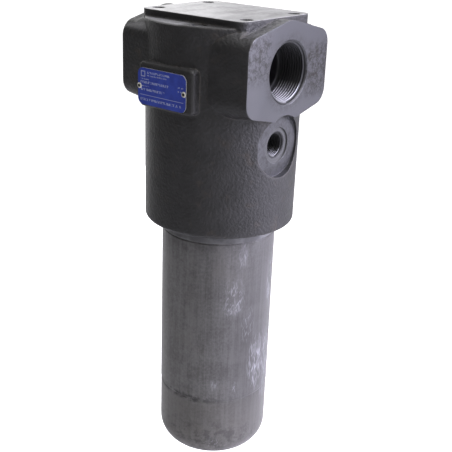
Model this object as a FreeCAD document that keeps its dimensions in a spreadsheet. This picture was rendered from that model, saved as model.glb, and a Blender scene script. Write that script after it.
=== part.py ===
import FreeCAD, Part
import math
import os
import re
import Sketcher

# Hydraulic pressure filter: a cast head with two screwed ports, and a steel bowl screwed into it
# from below with the filter element inside. Millimetres. The origin is the centre of the machined
# top face, +Z is up, +X runs along the port axis towards the outlet.

doc = FreeCAD.newDocument("pressure_filter")
Vector = FreeCAD.Vector

SIZES = {
    # Machined top face with its four tapped holes
    "block_long": 104, "block_wide": 88, "block_corner": 9, "ledge_drop": 5.2,
    "bolt_pitch_long": 88, "bolt_pitch_wide": 60, "bolt_hole_radius": 5, "bolt_hole_depth": 18,
    "bolt_mouth": 0.4, "drill_tip": 31,
    # Cast round body
    "head_radius": 63.5, "head_taper": 0.8, "head_foot_round": 3, "ledge_round": 1.2,
    # Ports
    "port_depth": 39.7, "port_thread_radius": 23.9, "port_thread_length": 24,
    "port_mouth": 1.1, "gallery_radius": 19, "gallery_round": 5, "outlet_reach": 16,
    "inlet_gap": 7, "inlet_slot_lip": 1, "inlet_slot_width": 16, "inlet_slot_length": 34,
    # Port pads, six sided
    "pad_root": 37, "pad_draft": 8, "pad_wide": 102, "pad_shoulder": 12, "pad_corner": 13,
    "pad_roof_round": 28, "pad_keel_round": 22,
    # Raised pad for the name plate, plate and rivets
    "plate_proud": 2.7, "plate_depth": 54.5, "plate_middle": -5.8, "plate_long": 49.4,
    "plate_high": 28.2, "plate_thick": 0.8, "plate_round": 5, "plate_margin_left": 0.2,
    "plate_margin_right": 6, "plate_margin_above": 4.5, "plate_margin_below": 2,
    "plate_pad_round": 4, "plate_pad_edge": 2.5, "rivet_inset": 1.9, "rivet_head_radius": 2.2,
    "rivet_head_high": 0.8, "rivet_head_edge": 0.4, "rivet_eye_radius": 1.0,
    "rivet_shank_radius": 1.4, "rivet_length": 7,
    # Indicator port
    "gauge_drop": 18.1, "gauge_offset": -2, "gauge_cut": 6.1, "gauge_flat_radius": 25,
    "gauge_seat_radius": 14.4, "gauge_seat_sink": 1.3, "gauge_thread_radius": 10,
    "gauge_thread_length": 14, "gauge_mouth": 0.9,
    # Closing plug in the ledge
    "closer_place": 16.5, "closer_inset": 12.7, "closer_hole_radius": 6, "closer_hole_depth": 14,
    "closer_sink": 0.6, "closer_long": 6, "closer_crown_radius": 4.4, "closer_crown_high": 2,
    "closer_crown_round": 0.6, "closer_taper": 1,
    # Chamber and bowl socket inside the head
    "chamber_step": 0.5, "chamber_drop": 44.3, "chamber_round": 1.2, "chamber_deep": 34,
    "socket_deep": 51.2, "nose_long": 13, "nose_wall": 6.5, "nose_lead": 1, "thread_step": 0.3,
    "thread_depth": 1.2, "thread_runout": 1, "bowl_shoulder_rise": 3.4, "socket_mouth_edge": 0.8,
    # Bowl
    "bowl_inner_radius": 39.5, "collar_step": 0.9, "collar_gap": 0.5, "collar_drop": 9.4,
    "tube_step": 0.2, "cap_step": 0.2, "scored_line": 0.5, "scored_width": 1, "bowl_long": 216.8,
    "weld_rise": 60.5, "cap_round": 21.5, "dome_sag": 3.5, "floor_thick": 15, "floor_round": 14,
    "boss_flats": 32, "boss_high": 10.5,
    "seal_groove_drop": 3.5, "seal_groove_depth": 3.5, "seal_ring_wire": 3.4, "backup_thick": 1.5,
    "seal_groove_room": 0.4,
    # Drain plug
    "drain_thread_radius": 10.5, "drain_thread_depth": 1.2, "drain_thread_length": 15,
    "drain_bore_radius": 5, "drain_shank_length": 13.5, "drain_shank_lead": 1,
    "drain_collar_radius": 13, "drain_collar_high": 4, "drain_collar_round": 0.8,
    "drain_key_flats": 10, "drain_key_deep": 7, "drain_seal_thick": 1.5,
    # Spigot that carries the element
    "spigot_bore": 12.5, "spigot_wall": 3, "spigot_thread_step": 1, "spigot_thread_length": 14,
    "spigot_flats": 34, "spigot_flange": 5, "spigot_nose": 19, "spigot_lead": 1.5,
    # Bypass valve
    "bypass_place": 29, "bypass_thread_radius": 8.5, "bypass_lip": 1, "bypass_wall": 1.3,
    "bypass_flange": 3, "bypass_flange_edge": 0.6, "bypass_drill_radius": 6.2, "bypass_long": 23,
    "bypass_seat_radius": 5, "bypass_seat_rise": 4, "bypass_web": 0.8, "poppet_gap": 0.6,
    "poppet_thick": 3, "poppet_nose_gap": 0.5, "poppet_nose": 2, "poppet_lead": 1,
    "stem_radius": 2, "stem_drop": 0.5, "guide_thick": 1.5, "guide_hole_radius": 1.2,
    "guide_holes": 6, "clip_place": 1.3, "clip_thick": 0.9, "clip_bite": 0.7,
    "clip_inner_radius": 6, "clip_opening": 50, "bypass_wire": 1.2, "bypass_coils": 4.5,
    "bypass_coil_radius": 4.7,
    # Element
    "element_gap": 4, "cap_plate": 2, "cap_skirt": 7, "cap_wall": 1, "cap_edge": 1,
    "hub_wall": 4.1, "hub_drop": 5, "hub_tail": 8, "ring_groove_depth": 2.6,
    "ring_groove_wide": 2.9, "ring_groove_place": 9, "core_thick": 1.5, "core_window_wide": 7,
    "core_window_high": 18, "core_windows": 8, "core_rows": 8, "pleats": 40,
    "pleat_fold": 4, "stub_radius": 10, "stub_long": 6, "stub_edge": 1.5,
    # Spring under the element
    "spring_space": 27, "spring_radius": 16, "spring_wire": 2.6, "spring_coils": 3.5,
    "spring_seat_room": 3.7, "spring_seat_thick": 1.2, "spring_seat_lip": 5, "spring_seat_edge": 1,
    "wire_sides": 8,
    # Clearances
    "running_gap": 0.08, "seal_gap": 0.03, "clear_gap": 0.3,
}

# What fits, seats or lines up takes its size from the piece that it belongs to
TIED_SIZES = {
    "head_foot_radius": "head_radius - head_taper",
    "port_span": "2 * head_radius",
    "pad_keel": "2 * port_depth",
    "pad_hip": "pad_keel - pad_shoulder",
    "plate_face": "head_radius + plate_proud",
    "plate_pad_left": "plate_long / 2 - plate_middle + plate_margin_left",
    "plate_pad_right": "plate_long / 2 + plate_middle + plate_margin_right",
    "plate_pad_above": "plate_high / 2 + plate_margin_above",
    "plate_pad_below": "plate_high / 2 + plate_margin_below",
    "rivet_pitch": "plate_long - 2 * rivet_inset",
    "gauge_depth": "pad_keel + gauge_drop",
    "gauge_flat": "head_radius - gauge_cut",
    "closer_place_y": "closer_inset - head_radius",
    "chamber_roof": "port_depth + chamber_drop",
    "seat_depth": "chamber_roof + chamber_deep",
    "head_depth": "seat_depth + socket_deep",
    "chamber_radius": "bowl_inner_radius + chamber_step",
    "socket_nose_radius": "bowl_inner_radius + nose_wall",
    "seal_groove_radius": "socket_nose_radius - seal_groove_depth",
    "bowl_thread_root": "socket_nose_radius + thread_step",
    "bowl_thread_radius": "bowl_thread_root + thread_depth",
    "collar_radius": "bowl_thread_radius + collar_step",
    "socket_mouth_radius": "collar_radius + collar_gap",
    "tube_radius": "collar_radius - tube_step",
    "cap_radius": "tube_radius - cap_step",
    "collar_foot": "head_depth + collar_drop",
    "cap_bottom": "head_depth + bowl_long",
    "weld_depth": "cap_bottom - weld_rise",
    "bowl_floor": "cap_bottom - floor_thick",
    "boss_bottom": "cap_bottom + boss_high",
    "drain_shank_radius": "drain_thread_radius - drain_thread_depth",
    "spigot_radius": "spigot_bore + spigot_wall",
    "spigot_thread_radius": "spigot_radius + spigot_thread_step",
    "bypass_flange_radius": "bypass_thread_radius + bypass_lip",
    "bypass_bore": "bypass_thread_radius - bypass_wall",
    "bypass_top": "chamber_roof - bypass_long",
    "bypass_seat_depth": "chamber_roof - bypass_seat_rise",
    "poppet_radius": "bypass_bore - poppet_gap",
    "poppet_nose_radius": "bypass_seat_radius - poppet_nose_gap",
    "element_radius": "bowl_inner_radius - element_gap",
    "element_bottom": "bowl_floor - spring_space",
    "hub_radius": "spigot_radius + hub_wall",
    "ring_groove_radius": "spigot_radius + ring_groove_depth",
    "pleat_inner_radius": "hub_radius + core_thick + running_gap + clear_gap",
    "pleat_outer_radius": "element_radius - cap_wall - clear_gap",
    "spring_seat_radius": "spring_radius + spring_wire / 2 + spring_seat_room",
}

sheet = doc.addObject("Spreadsheet::Sheet", "Sizes")
for row, alias in enumerate(list(SIZES) + list(TIED_SIZES), start=1):
    sheet.set(f"A{row}", alias)
    sheet.set(f"B{row}", str(SIZES[alias]) if alias in SIZES else "=" + TIED_SIZES[alias])
    sheet.setAlias(f"B{row}", alias)
doc.recompute()


def formula(text):
    """The text with each size's name turned into a reference to its cell."""
    return re.sub(r"[a-z_]+[a-z0-9_]*", lambda word: "Sizes." + word.group()
                  if word.group() in SIZES or word.group() in TIED_SIZES else word.group(), str(text))


def number(text):
    """The present value of a formula on the sheet."""
    return float(sheet.evalExpression(formula(text)))


def bind(item, field, text):
    """Sets one property of an object, and ties it to the sheet."""
    item.setExpression(field, formula(text))


def new_body(label):
    body = doc.addObject("PartDesign::Body", label)
    body.Label = label
    return body


def new_sketch(body, name, plane, shift=(0, 0, 0)):
    """A sketch on one of the body's origin planes, shifted along the sketch's own X, Y and normal."""
    sketch = body.newObject("Sketcher::SketchObject", f"{body.Name}_{name}")
    support = [item for item in body.Origin.OriginFeatures if item.Role == plane][0]
    sketch.AttachmentSupport = (support, [""])
    sketch.MapMode = "FlatFace"
    for axis, text in zip("xyz", shift):
        if text != 0:
            bind(sketch, f"AttachmentOffset.Base.{axis}", text)
    return sketch


def pin_point(sketch, part, end, name, across, up):
    """Holds one point of a sketch at a place given by two formulas."""
    for kind, text, axis, tail in (("DistanceX", across, -2, "x"), ("DistanceY", up, -1, "y")):
        if str(text) == "0":
            sketch.addConstraint(Sketcher.Constraint("PointOnObject", part, end, axis))
            continue
        place = sketch.addConstraint(Sketcher.Constraint(kind, -1, 1, part, end, number(text)))
        sketch.renameConstraint(place, f"{name}_{tail}")
        bind(sketch, f"Constraints.{name}_{tail}", text)


def draw_outline(sketch, corners, first="corner"):
    """A closed outline through corners (across, up), with an optional rounding as a third formula."""
    points = [Vector(number(corner[0]), number(corner[1]), 0) for corner in corners]
    rounds = [number(corner[2]) if len(corner) > 2 else 0 for corner in corners]
    count = len(corners)
    starts, ends = [], []
    for i, point in enumerate(points):
        back = (points[i - 1] - point).normalize()
        ahead = (points[(i + 1) % count] - point).normalize()
        reach = rounds[i] / math.tan(back.getAngle(ahead) / 2) if rounds[i] else 0
        ends.append(point + back * reach)
        starts.append(point + ahead * reach)
    lines = [sketch.addGeometry(Part.LineSegment(starts[i], ends[(i + 1) % count]))
             for i in range(count)]
    for i, corner in enumerate(corners):
        before, after, name = lines[i - 1], lines[i], f"{first}_{i}"
        if not rounds[i]:
            sketch.addConstraint(Sketcher.Constraint("Coincident", before, 2, after, 1))
            pin_point(sketch, after, 1, name, corner[0], corner[1])
            continue
        back = (ends[i] - points[i]).normalize()
        ahead = (starts[i] - points[i]).normalize()
        middle = points[i] + (back + ahead).normalize() * (rounds[i] / math.sin(back.getAngle(ahead) / 2))
        turns_left = back.cross(ahead).z < 0
        first_end, last_end = (ends[i], starts[i]) if turns_left else (starts[i], ends[i])
        angles = [math.atan2(p.y - middle.y, p.x - middle.x) for p in (first_end, last_end)]
        circle = Part.Circle(middle, Vector(0, 0, 1), rounds[i])
        arc = sketch.addGeometry(Part.ArcOfCircle(circle, angles[0], angles[1]))
        tip = sketch.addGeometry(Part.Point(points[i]), True)
        sketch.addConstraint(Sketcher.Constraint("Tangent", before, 2, arc, 1 if turns_left else 2))
        sketch.addConstraint(Sketcher.Constraint("Tangent", after, 1, arc, 2 if turns_left else 1))
        sketch.addConstraint(Sketcher.Constraint("PointOnObject", tip, 1, before))
        sketch.addConstraint(Sketcher.Constraint("PointOnObject", tip, 1, after))
        pin_point(sketch, tip, 1, name, corner[0], corner[1])
        size = sketch.addConstraint(Sketcher.Constraint("Radius", arc, rounds[i]))
        sketch.renameConstraint(size, f"{name}_round")
        bind(sketch, f"Constraints.{name}_round", corner[2])


def draw_circle(sketch, across, up, radius, name="ring"):
    middle = Vector(number(across), number(up), 0)
    ring = sketch.addGeometry(Part.Circle(middle, Vector(0, 0, 1), number(radius)))
    size = sketch.addConstraint(Sketcher.Constraint("Radius", ring, number(radius)))
    sketch.renameConstraint(size, f"{name}_radius")
    bind(sketch, f"Constraints.{name}_radius", radius)
    if str(across) == "0" and str(up) == "0":
        sketch.addConstraint(Sketcher.Constraint("Coincident", ring, 3, -1, 1))
    else:
        pin_point(sketch, ring, 3, name, across, up)


def add_feature(body, kind, name, sketch):
    feature = body.newObject(f"PartDesign::{kind}", f"{body.Name}_{name}")
    feature.Profile = sketch
    return feature


def turn(body, name, corners, plane="XZ_Plane", axis="V_Axis", shift=(0, 0, 0), cut=False):
    """A turned solid, or a turned cut, from half of its section."""
    sketch = new_sketch(body, f"{name}_section", plane, shift)
    draw_outline(sketch, corners)
    feature = add_feature(body, "Groove" if cut else "Revolution", name, sketch)
    feature.ReferenceAxis = (sketch, [axis])
    feature.Angle = 360
    sketch.Visibility = False
    return feature


def raise_outline(body, name, draw, plane, length, shift=(0, 0, 0), cut=False, both=False, away=False):
    """A pad, or a pocket, of the length given, from what draw puts into the sketch."""
    sketch = new_sketch(body, f"{name}_outline", plane, shift)
    draw(sketch)
    feature = add_feature(body, "Pocket" if cut else "Pad", name, sketch)
    bind(feature, "Length", length)
    feature.SideType = "Symmetric" if both else "One side"
    feature.Reversed = away
    sketch.Visibility = False
    return feature


def soften(body, name, radius, is_wanted):
    """Rounds the edges of the body's last feature that is_wanted picks."""
    doc.recompute()
    base = body.Tip
    chosen = [f"Edge{i}" for i, edge in enumerate(base.Shape.Edges, start=1) if is_wanted(edge)]
    if not chosen:
        raise ValueError(f"{body.Name}: no edge to round for {name}")
    feature = body.newObject("PartDesign::Fillet", f"{body.Name}_{name}")
    feature.Base = (base, chosen)
    bind(feature, "Radius", radius)
    return feature


def polar_copies(body, feature, count, name, axis_sketch, axis="N_Axis"):
    pattern = body.newObject("PartDesign::PolarPattern", f"{body.Name}_{name}")
    pattern.Originals = [feature]
    pattern.Axis = (axis_sketch, [axis])
    pattern.Angle = 360
    bind(pattern, "Occurrences", count)
    body.Tip = pattern
    return pattern


def box_outline(left, right, low, high, rounding):
    return [(left, low, rounding), (right, low, rounding), (right, high, rounding), (left, high, rounding)]


def many_sided(across, up, radius, sides):
    """Corners of a regular outline round a point."""
    turns = [2 * math.pi * (i + 0.5) / sides for i in range(sides)]
    return [(f"{across} + ({radius}) * {math.cos(angle)}", f"{up} + ({radius}) * {math.sin(angle)}")
            for angle in turns]


def hexagon(flats):
    """Corners of a hexagon with two flats facing left and right."""
    side = f"{flats} / 2 / sqrt(3)"
    return [(f"{flats} / 2", side), ("0", f"2 * {side}"), (f"-{flats} / 2", side),
            (f"-{flats} / 2", f"-{side}"), ("0", f"-2 * {side}"), (f"{flats} / 2", f"-{side}")]


def make_head():
    """The casting: round body, port pads, top block, name plate pad, and everything bored into it."""
    head = new_body("head")
    turn(head, "round_body", [
        ("0", "-ledge_drop"), ("head_radius", "-ledge_drop", "ledge_round"),
        ("head_foot_radius", "-head_depth", "head_foot_round"), ("0", "-head_depth")], plane="YZ_Plane")
    half = "pad_wide / 2"
    for name, side, inward in (("outlet", "", True), ("inlet", "-", False)):
        pad = raise_outline(head, f"{name}_pad", lambda sketch: draw_outline(sketch, [
            ("0", "0", "pad_roof_round"), (f"-{half}", "-pad_shoulder", "pad_corner"),
            (f"-{half}", "-pad_hip", "pad_corner"), ("0", "-pad_keel", "pad_keel_round"),
            (half, "-pad_hip", "pad_corner"), (half, "-pad_shoulder", "pad_corner")]),
            "YZ_Plane", "pad_root", shift=(0, 0, f"{side}port_span / 2"), away=inward)
        bind(pad, "TaperAngle", "pad_draft")
    for name, shift, away in (("right", "block_long / 2", False), ("left", "-block_long / 2", True)):
        raise_outline(head, f"roof_{name}", lambda sketch: draw_outline(sketch, [
            ("0", "0", "pad_roof_round"), (f"-{half}", "-pad_shoulder"), (f"-{half}", "ledge_drop"),
            (half, "ledge_drop"), (half, "-pad_shoulder")]),
            "YZ_Plane", "port_span", shift=(0, 0, shift), cut=True, away=not away)
    raise_outline(head, "top_block", lambda sketch: draw_outline(sketch, box_outline(
        "-block_long / 2", "block_long / 2", "-block_wide / 2", "block_wide / 2", "block_corner")),
        "XY_Plane", "pad_shoulder + ledge_round", away=True)
    raise_outline(head, "top_milled", lambda sketch: draw_outline(sketch, box_outline(
        "-head_radius", "head_radius", "-head_radius", "head_radius", 0)),
        "XY_Plane", "2 * ledge_drop", cut=True, away=True)
    raise_outline(head, "plate_pad", lambda sketch: draw_outline(sketch, box_outline(
        "-plate_pad_left", "plate_pad_right", "-plate_depth - plate_pad_below",
        "-plate_depth + plate_pad_above", "plate_pad_round")),
        "XZ_Plane", "plate_face - head_radius + plate_pad_left / 2", shift=(0, 0, "plate_face"), away=True)
    face = -number("plate_face")
    soften(head, "plate_pad_soft", "plate_pad_edge",
           lambda edge: all(abs(v.Y - face) < 0.01 for v in edge.Vertexes) and edge.Length > 1)

    turn(head, "main_bore", [
        ("0", "-port_depth"), ("spigot_bore", "-port_depth"),
        ("spigot_bore", "-chamber_roof + spigot_thread_length + clear_gap"),
        ("spigot_thread_radius + running_gap", "-chamber_roof + spigot_thread_length + clear_gap"),
        ("spigot_thread_radius + running_gap", "-chamber_roof"),
        ("chamber_radius", "-chamber_roof", "chamber_round"), ("chamber_radius", "-seat_depth"),
        ("socket_nose_radius", "-seat_depth"), ("socket_nose_radius", "-seat_depth - nose_long"),
        ("bowl_thread_radius + running_gap", "-seat_depth - nose_long"),
        ("bowl_thread_radius + running_gap", "-head_depth + bowl_shoulder_rise + clear_gap"),
        ("socket_mouth_radius", "-head_depth + bowl_shoulder_rise + clear_gap"),
        ("socket_mouth_radius", "-head_depth + socket_mouth_edge"),
        ("socket_mouth_radius + socket_mouth_edge", "-head_depth"), ("0", "-head_depth")], cut=True)
    sides = (("outlet", "", "-outlet_reach"), ("inlet", "-", "-outlet_reach - inlet_gap"))
    for name, sign, end in sides:
        face = f"{sign}port_span / 2"
        foot = f"{sign}(port_span / 2 - port_thread_length)"
        mouth = f"{sign}(port_span / 2 - port_mouth)"
        turn(head, f"{name}_port", [
            (face, "0"), (face, "port_thread_radius + port_mouth"), (mouth, "port_thread_radius"),
            (foot, "port_thread_radius"), (foot, "gallery_radius"),
            (end, "gallery_radius", "gallery_round"), (end, "0")],
            axis="H_Axis", shift=(0, "-port_depth", 0), cut=True)
    slot_right = "-outlet_reach - inlet_gap - inlet_slot_lip"
    raise_outline(head, "inlet_slot", lambda sketch: draw_outline(sketch, box_outline(
        f"{slot_right} - inlet_slot_width", slot_right, "-inlet_slot_length / 2",
        "inlet_slot_length / 2", "inlet_slot_width / 2 - clear_gap")),
        "XY_Plane", "chamber_roof - port_depth", shift=(0, 0, "-chamber_roof"), cut=True, away=True)
    turn(head, "bypass_hole", [
        ("0", "-chamber_roof"), ("bypass_thread_radius + running_gap", "-chamber_roof"),
        ("bypass_thread_radius + running_gap", "-bypass_top + bypass_web"),
        ("bypass_drill_radius", "-bypass_top + bypass_web"), ("bypass_drill_radius", "-port_depth"),
        ("0", "-port_depth")], shift=("bypass_place", 0, 0), cut=True)
    turn(head, "gauge_port", [
        ("gauge_flat + gauge_flat_radius", "0"), ("gauge_flat + gauge_flat_radius", "gauge_flat_radius"),
        ("gauge_flat", "gauge_flat_radius"), ("gauge_flat", "gauge_seat_radius"),
        ("gauge_flat - gauge_seat_sink", "gauge_seat_radius"),
        ("gauge_flat - gauge_seat_sink", "gauge_thread_radius + gauge_mouth"),
        ("gauge_flat - gauge_seat_sink - gauge_mouth", "gauge_thread_radius"),
        ("gauge_flat - gauge_seat_sink - gauge_thread_length", "gauge_thread_radius"),
        ("gauge_flat - gauge_seat_sink - gauge_thread_length - gauge_thread_radius * tan(drill_tip)", "0")],
        plane="XY_Plane", axis="H_Axis", shift=(0, "gauge_offset", "-gauge_depth"), cut=True)
    for i, (side, end) in enumerate(((-1, -1), (-1, 1), (1, -1), (1, 1))):
        across, up = f"{side} * bolt_pitch_long / 2", f"{end} * bolt_pitch_wide / 2"
        turn(head, f"bolt_hole_{i}", [
            ("0", "0"), ("bolt_hole_radius + bolt_mouth", "0"), ("bolt_hole_radius", "-bolt_mouth"),
            ("bolt_hole_radius", "-bolt_hole_depth"),
            ("0", "-bolt_hole_depth - bolt_hole_radius * tan(drill_tip)")],
            shift=(across, 0, f"-({up})"), cut=True)
    turn(head, "closer_hole", [
        ("0", "-ledge_drop"), ("closer_hole_radius", "-ledge_drop"),
        ("closer_hole_radius", "-ledge_drop - closer_hole_depth"),
        ("0", "-ledge_drop - closer_hole_depth")],
        shift=("closer_place", 0, "-closer_place_y"), cut=True)
    for i, side in enumerate((-1, 1)):
        raise_outline(head, f"rivet_hole_{i}", lambda sketch: draw_circle(
            sketch, f"plate_middle + {side} * rivet_pitch / 2", "-plate_depth",
            "rivet_shank_radius + running_gap"),
            "XZ_Plane", "rivet_length + clear_gap", shift=(0, 0, "plate_face"), cut=True, away=False)
    return head


def make_nameplate():
    plate = new_body("nameplate")
    raise_outline(plate, "sheet", lambda sketch: draw_outline(sketch, box_outline(
        "plate_middle - plate_long / 2", "plate_middle + plate_long / 2",
        "-plate_depth - plate_high / 2", "-plate_depth + plate_high / 2", "plate_round")),
        "XZ_Plane", "plate_thick", shift=(0, 0, "plate_face"))
    for i, side in enumerate((-1, 1)):
        raise_outline(plate, f"eye_{i}", lambda sketch: draw_circle(
            sketch, f"plate_middle + {side} * rivet_pitch / 2", "-plate_depth",
            "rivet_shank_radius + running_gap"),
            "XZ_Plane", "plate_thick", shift=(0, 0, "plate_face"), cut=True, away=True)
    return plate


def make_rivets():
    """Two hollow rivets, each with a rolled head; one node of two solids."""
    half = []
    for i, side in enumerate((-1, 1)):
        rivet = new_body(f"rivet_{i}")
        face = "-plate_face - plate_thick"
        turn(rivet, "shell", [
            ("0", f"{face} + rivet_length"), ("0", f"{face} + rivet_head_high"),
            ("rivet_eye_radius", f"{face} + rivet_head_high"),
            ("rivet_eye_radius", f"{face} - rivet_head_high"),
            ("rivet_head_radius - rivet_head_edge", f"{face} - rivet_head_high"),
            ("rivet_head_radius", f"{face} - rivet_head_high + rivet_head_edge"),
            ("rivet_head_radius", face), ("rivet_shank_radius", face),
            ("rivet_shank_radius", f"{face} + rivet_length")],
            plane="XY_Plane", shift=(f"plate_middle + {side} * rivet_pitch / 2", 0, "-plate_depth"))
        half.append(rivet)
    pair = doc.addObject("Part::Compound", "nameplate_rivets")
    pair.Links = half
    pair.Label = "nameplate_rivets"
    return pair


def make_passage_plug():
    """A plug pressed into the drilled hole in the ledge, with a lower crown inside a ring gap."""
    plug = new_body("passage_plug")
    top = "-ledge_drop - closer_sink"
    shoulder = f"{top} - closer_crown_high"
    foot = f"{shoulder} - closer_taper - closer_long"
    turn(plug, "body", [
        ("0", top), ("closer_crown_radius - closer_crown_round", top),
        ("closer_crown_radius", f"{top} - closer_crown_round"), ("closer_crown_radius", shoulder),
        ("closer_hole_radius - seal_gap", f"{shoulder} - closer_taper"),
        ("closer_hole_radius - seal_gap", foot), ("0", foot)],
        shift=("closer_place", 0, "-closer_place_y"))
    return plug


def make_spigot():
    """A turned tube screwed into the roof of the chamber; the element hangs on its nose."""
    spigot = new_body("element_spigot")
    roof = "-chamber_roof"
    nose = "-chamber_roof - spigot_flange"
    turn(spigot, "tube", [
        ("spigot_bore", f"{roof} + spigot_thread_length"), ("spigot_bore", f"{nose} - spigot_nose"),
        ("spigot_radius - spigot_lead / 2", f"{nose} - spigot_nose"),
        ("spigot_radius", f"{nose} - spigot_nose + spigot_lead"), ("spigot_radius", nose),
        ("spigot_thread_radius", nose), ("spigot_thread_radius", f"{roof} + spigot_thread_length")])
    raise_outline(spigot, "flange", lambda sketch: (
        draw_outline(sketch, hexagon("spigot_flats")), draw_circle(sketch, "0", "0", "spigot_bore")),
        "XY_Plane", "spigot_flange", shift=(0, 0, nose))
    return spigot


def clip_low():
    """Lower side of the ring groove near the top of the valve body."""
    return "-bypass_top - clip_place - clip_thick"


def guide_low():
    return f"{clip_low()} - seal_gap - guide_thick"


def make_bypass_body():
    """A screwed sleeve with the valve seat at its lower end."""
    sleeve = new_body("bypass_body")
    turn(sleeve, "sleeve", [
        ("bypass_seat_radius", "-chamber_roof - bypass_flange"),
        ("bypass_flange_radius - bypass_flange_edge", "-chamber_roof - bypass_flange"),
        ("bypass_flange_radius", "-chamber_roof - bypass_flange + bypass_flange_edge"),
        ("bypass_flange_radius", "-chamber_roof"), ("bypass_thread_radius", "-chamber_roof"),
        ("bypass_thread_radius", "-bypass_top"), ("bypass_bore", "-bypass_top"),
        ("bypass_bore", f"{clip_low()} + clip_thick"),
        ("bypass_bore + clip_bite", f"{clip_low()} + clip_thick"),
        ("bypass_bore + clip_bite", clip_low()), ("bypass_bore", clip_low()),
        ("bypass_bore", "-bypass_seat_depth"), ("bypass_seat_radius", "-bypass_seat_depth")],
        shift=("bypass_place", 0, 0))
    return sleeve


def make_bypass_poppet():
    poppet = new_body("bypass_poppet")
    back = "-bypass_seat_depth + poppet_thick"
    turn(poppet, "valve", [
        ("0", "-bypass_seat_depth - poppet_nose"),
        ("poppet_nose_radius - poppet_lead", "-bypass_seat_depth - poppet_nose"),
        ("poppet_nose_radius", "-bypass_seat_depth - poppet_nose + poppet_lead"),
        ("poppet_nose_radius", "-bypass_seat_depth"), ("poppet_radius", "-bypass_seat_depth"),
        ("poppet_radius", back), ("stem_radius", back), ("stem_radius", "-bypass_top - stem_drop"),
        ("0", "-bypass_top - stem_drop")], shift=("bypass_place", 0, 0))
    return poppet


def make_bypass_guide():
    """A pierced disc under the retaining ring."""
    guide = new_body("bypass_spring_guide")
    disc = raise_outline(guide, "disc", lambda sketch: (
        draw_circle(sketch, "0", "0", "bypass_bore - running_gap", "rim"),
        draw_circle(sketch, "0", "0", "stem_radius + running_gap", "eye")),
        "XY_Plane", "guide_thick", shift=("bypass_place", 0, guide_low()))
    ring = "(bypass_bore + stem_radius) / 2"
    hole = raise_outline(guide, "port", lambda sketch: draw_circle(sketch, ring, "0", "guide_hole_radius"),
                         "XY_Plane", "guide_thick", shift=("bypass_place", 0, guide_low()), cut=True, away=True)
    polar_copies(guide, hole, "guide_holes", "ports", disc.Profile[0])
    return guide


def make_bypass_clip():
    """An open ring sprung into the groove at the top of the valve body."""
    clip = new_body("bypass_retaining_ring")
    low = f"{clip_low()} + seal_gap / 2"
    raise_outline(clip, "ring", lambda sketch: (
        draw_circle(sketch, "0", "0", "bypass_bore + clip_bite - seal_gap", "outer"),
        draw_circle(sketch, "0", "0", "clip_inner_radius", "inner")),
        "XY_Plane", "clip_thick - seal_gap", shift=("bypass_place", 0, low))
    reach = "bypass_bore + 2 * clip_bite"
    slope = f"({reach}) * tan(clip_opening / 2)"
    raise_outline(clip, "opening", lambda sketch: draw_outline(sketch, [
        ("0", "0"), (reach, f"-({slope})"), (reach, slope)]),
        "XY_Plane", "clip_thick", shift=("bypass_place", 0, low), cut=True, away=True)
    return clip


def make_coil(label, middle, wire, low, high, coils, place="0"):
    """A coil spring between two heights, its wire drawn with a few flats."""
    coil = new_body(label)
    sketch = new_sketch(coil, "wire", "XZ_Plane", (place, 0, 0) if place != "0" else (0, 0, 0))
    draw_outline(sketch, many_sided(
        middle, f"{low} + {wire} / 2 + seal_gap", f"{wire} / 2", int(number("wire_sides"))))
    helix = coil.newObject("PartDesign::AdditiveHelix", f"{label}_helix")
    helix.Profile = sketch
    helix.ReferenceAxis = (sketch, ["V_Axis"])
    helix.Mode = "height-turns-angle"
    bind(helix, "Height", f"{high} - ({low}) - {wire} - 2 * seal_gap")
    bind(helix, "Turns", coils)
    helix.Angle = 0
    helix.Growth = 0
    return coil


def make_top_cap():
    """Pressed cap with a hub that slides over the spigot and holds the seal ring."""
    cap = new_body("element_top_cap")
    top = "-chamber_roof - spigot_flange"
    plate = f"{top} - hub_drop"
    groove = f"{top} - ring_groove_place"
    turn(cap, "cap", [
        ("spigot_radius + running_gap", top), ("hub_radius", top), ("hub_radius", plate),
        ("element_radius - cap_edge", plate), ("element_radius", f"{plate} - cap_edge"),
        ("element_radius", f"{plate} - cap_skirt"),
        ("element_radius - cap_wall", f"{plate} - cap_skirt"),
        ("element_radius - cap_wall", f"{plate} - cap_plate"), ("hub_radius", f"{plate} - cap_plate"),
        ("hub_radius", f"{plate} - hub_tail"), ("spigot_radius + running_gap", f"{plate} - hub_tail"),
        ("spigot_radius + running_gap", f"{groove} - ring_groove_wide"),
        ("ring_groove_radius", f"{groove} - ring_groove_wide"), ("ring_groove_radius", groove),
        ("spigot_radius + running_gap", groove)])
    return cap


def ring_of_wire(label, inner, outer, height):
    """A rubber ring between two radii, its section drawn with a few flats."""
    ring = new_body(label)
    sketch = new_sketch(ring, "wire", "XZ_Plane")
    draw_outline(sketch, many_sided(f"({inner} + {outer}) / 2", height,
                                    f"({outer} - {inner}) / 2 - seal_gap", int(number("wire_sides"))))
    feature = add_feature(ring, "Revolution", "ring", sketch)
    feature.ReferenceAxis = (sketch, ["V_Axis"])
    feature.Angle = 360
    return ring


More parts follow.
